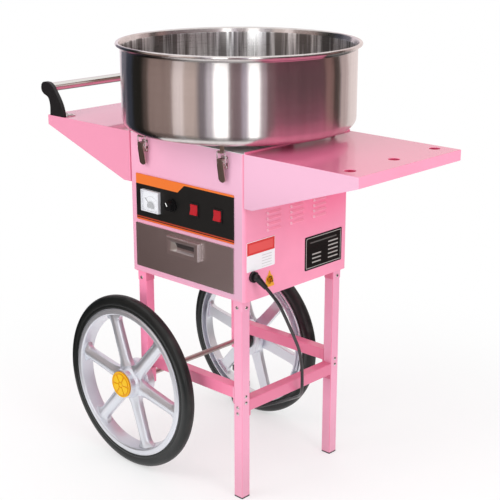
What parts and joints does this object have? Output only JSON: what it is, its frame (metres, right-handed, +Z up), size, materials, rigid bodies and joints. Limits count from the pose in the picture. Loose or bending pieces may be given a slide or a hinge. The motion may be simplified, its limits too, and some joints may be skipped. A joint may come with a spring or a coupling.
{
  "type": "candy floss machine on cart",
  "caption": "Electric candy floss machine with open steel bowl, control panel and drawer on a two-wheeled cart with side shelves and push bar.",
  "frame": {"origin": "on the floor under the middle of the cart without its cord, midway between the end of the right-hand wing and the horns of the push bar", "axes": "+Z up, +X to the right as seen from the control panel (wing with cone holes), -Y towards the user at the control panel"},
  "size_m": [0.929, 0.628, 0.954],
  "materials": {
    "body_paint": "gloss",
    "frame_paint": "gloss",
    "deck_steel": "brushed",
    "bowl_steel": "brushed",
    "rubber": "matt",
    "latch_steel": "satin",
    "screw_steel": "polished",
    "black_plastic": "matt",
    "axle_steel": "satin",
    "wheel_plastic": "satin silver",
    "tyre_rubber": "satin",
    "cap_plastic": "gloss",
    "bar_chrome": "polished",
    "panel_plastic": "satin",
    "meter_plastic": "gloss",
    "meter_glass": "clear",
    "needle_paint": "matt",
    "knob_plastic": "satin",
    "red_plastic": "gloss",
    "drawer_steel": "brushed",
    "runner_steel": "plain",
    "cast_aluminium": "cast",
    "motor_paint": "satin",
    "band_steel": "satin",
    "plate_paint": "satin",
    "cord_rubber": "satin"
  },
  "bodies": {
    "cart": {"cabinet": "body_paint", "deck_plate": "deck_steel", "wing_right": "body_paint", "wing_left": "body_paint", "bowl": "bowl_steel", "bowl_buffers": "rubber", "bowl_catches": "latch_steel", "leg_front_right": "frame_paint", "leg_rear_right": "frame_paint", "leg_front_left": "frame_paint", "leg_rear_left": "frame_paint", "leg_plugs": "black_plastic", "leg_collars": "frame_paint", "side_rail": "frame_paint", "cross_rails": "frame_paint", "frame_screws": "screw_steel", "axle": "axle_steel", "axle_bushes": "black_plastic", "push_bar": "bar_chrome", "horns": "black_plastic", "horn_tabs": "screw_steel", "control_panel": "panel_plastic", "meter_case": "meter_plastic", "meter_window": "meter_glass", "knob_control": "black_plastic", "rocker_housings": "black_plastic", "drawer_runners": "runner_steel", "bearing_housing": "cast_aluminium", "motor": "motor_paint", "side_plates": "plate_paint", "cable_gland": "black_plastic", "supply_cord": "cord_rubber", "cord_coil": "cord_rubber", "plug": "black_plastic", "latch_bases": "latch_steel"},
    "wheel_front_turning": {"wheel_front": "wheel_plastic", "tyre_front": "tyre_rubber", "hub_cap_front": "cap_plastic"},
    "wheel_rear_turning": {"wheel_rear": "wheel_plastic", "tyre_rear": "tyre_rubber", "hub_cap_rear": "cap_plastic"},
    "drawer": {"drawer_box": "drawer_steel", "drawer_front": "drawer_steel", "drawer_pull": "drawer_steel"},
    "knob": {"heat_knob": "knob_plastic"},
    "needle": {"meter_needle": "needle_paint"},
    "heat_rocker": {"rocker_heat": "red_plastic"},
    "motor_rocker": {"rocker_motor": "red_plastic"},
    "spinner": {"spindle": "axle_steel", "spinner_pan": "cast_aluminium", "heater_band": "band_steel", "spinner_cap": "cast_aluminium"},
    "lever_front_left": {"latch_lever_front_left": "latch_steel"},
    "bail_front_left": {"latch_bail_front_left": "latch_steel"},
    "lever_front_right": {"latch_lever_front_right": "latch_steel"},
    "bail_front_right": {"latch_bail_front_right": "latch_steel"},
    "lever_rear_left": {"latch_lever_rear_left": "latch_steel"},
    "bail_rear_left": {"latch_bail_rear_left": "latch_steel"},
    "lever_rear_right": {"latch_lever_rear_right": "latch_steel"},
    "bail_rear_right": {"latch_bail_rear_right": "latch_steel"}
  },
  "joints": [
    {"name": "wheel_front_spin", "type": "hinge", "parent": "cart", "child": "wheel_front_turning", "pos_m": [-0.137, -0.2015, 0.1995], "axis": [0, 1, 0], "continuous": true},
    {"name": "wheel_rear_spin", "type": "hinge", "parent": "cart", "child": "wheel_rear_turning", "pos_m": [-0.137, 0.2015, 0.1995], "axis": [0, 1, 0], "continuous": true},
    {"name": "drawer_slide", "type": "slide", "parent": "cart", "child": "drawer", "axis": [0, -1, 0], "range_m": [0, 0.17]},
    {"name": "heat_knob_turn", "type": "hinge", "parent": "cart", "child": "knob", "pos_m": [-0.0265, -0.166, 0.621], "axis": [0, 1, 0], "range_deg": [0, 270]},
    {"name": "meter_needle_swing", "type": "hinge", "parent": "cart", "child": "needle", "pos_m": [-0.091, -0.168, 0.6055], "axis": [0, 1, 0], "range_deg": [0, 90], "stiffness_Nm_per_rad": 0.0002},
    {"name": "heat_rocker_tilt", "type": "hinge", "parent": "cart", "child": "heat_rocker", "pos_m": [0.041, -0.164, 0.623], "axis": [1, 0, 0], "range_deg": [0, 14]},
    {"name": "motor_rocker_tilt", "type": "hinge", "parent": "cart", "child": "motor_rocker", "pos_m": [0.109, -0.164, 0.623], "axis": [1, 0, 0], "range_deg": [0, 14]},
    {"name": "spinner_spin", "type": "hinge", "parent": "cart", "child": "spinner", "pos_m": [0.0095, 0, 0.812], "axis": [0, 0, 1], "continuous": true},
    {"name": "lever_front_left_lift", "type": "hinge", "parent": "cart", "child": "lever_front_left", "pos_m": [-0.109, -0.17475, 0.741], "axis": [-1, 0, 0], "range_deg": [0, 60]},
    {"name": "bail_front_left_follow", "type": "hinge", "parent": "lever_front_left", "child": "bail_front_left", "pos_m": [-0.109, -0.17425, 0.733], "axis": [1, 0, 0], "range_deg": [0, 45]},
    {"name": "lever_front_right_lift", "type": "hinge", "parent": "cart", "child": "lever_front_right", "pos_m": [0.1275, -0.17475, 0.741], "axis": [-1, 0, 0], "range_deg": [0, 60]},
    {"name": "bail_front_right_follow", "type": "hinge", "parent": "lever_front_right", "child": "bail_front_right", "pos_m": [0.1275, -0.17425, 0.733], "axis": [1, 0, 0], "range_deg": [0, 45]},
    {"name": "lever_rear_left_lift", "type": "hinge", "parent": "cart", "child": "lever_rear_left", "pos_m": [-0.109, 0.17475, 0.741], "axis": [1, 0, 0], "range_deg": [0, 60]},
    {"name": "bail_rear_left_follow", "type": "hinge", "parent": "lever_rear_left", "child": "bail_rear_left", "pos_m": [-0.109, 0.17425, 0.733], "axis": [-1, 0, 0], "range_deg": [0, 45]},
    {"name": "lever_rear_right_lift", "type": "hinge", "parent": "cart", "child": "lever_rear_right", "pos_m": [0.1275, 0.17475, 0.741], "axis": [1, 0, 0], "range_deg": [0, 60]},
    {"name": "bail_rear_right_follow", "type": "hinge", "parent": "lever_rear_right", "child": "bail_rear_right", "pos_m": [0.1275, 0.17425, 0.733], "axis": [-1, 0, 0], "range_deg": [0, 45]}
  ],
  "couplings": [
    {"joint": "bail_front_left_follow", "follows": "lever_front_left_lift", "ratio": 0.738},
    {"joint": "bail_front_right_follow", "follows": "lever_front_right_lift", "ratio": 0.738},
    {"joint": "bail_rear_left_follow", "follows": "lever_rear_left_lift", "ratio": 0.738},
    {"joint": "bail_rear_right_follow", "follows": "lever_rear_right_lift", "ratio": 0.738}
  ]
}
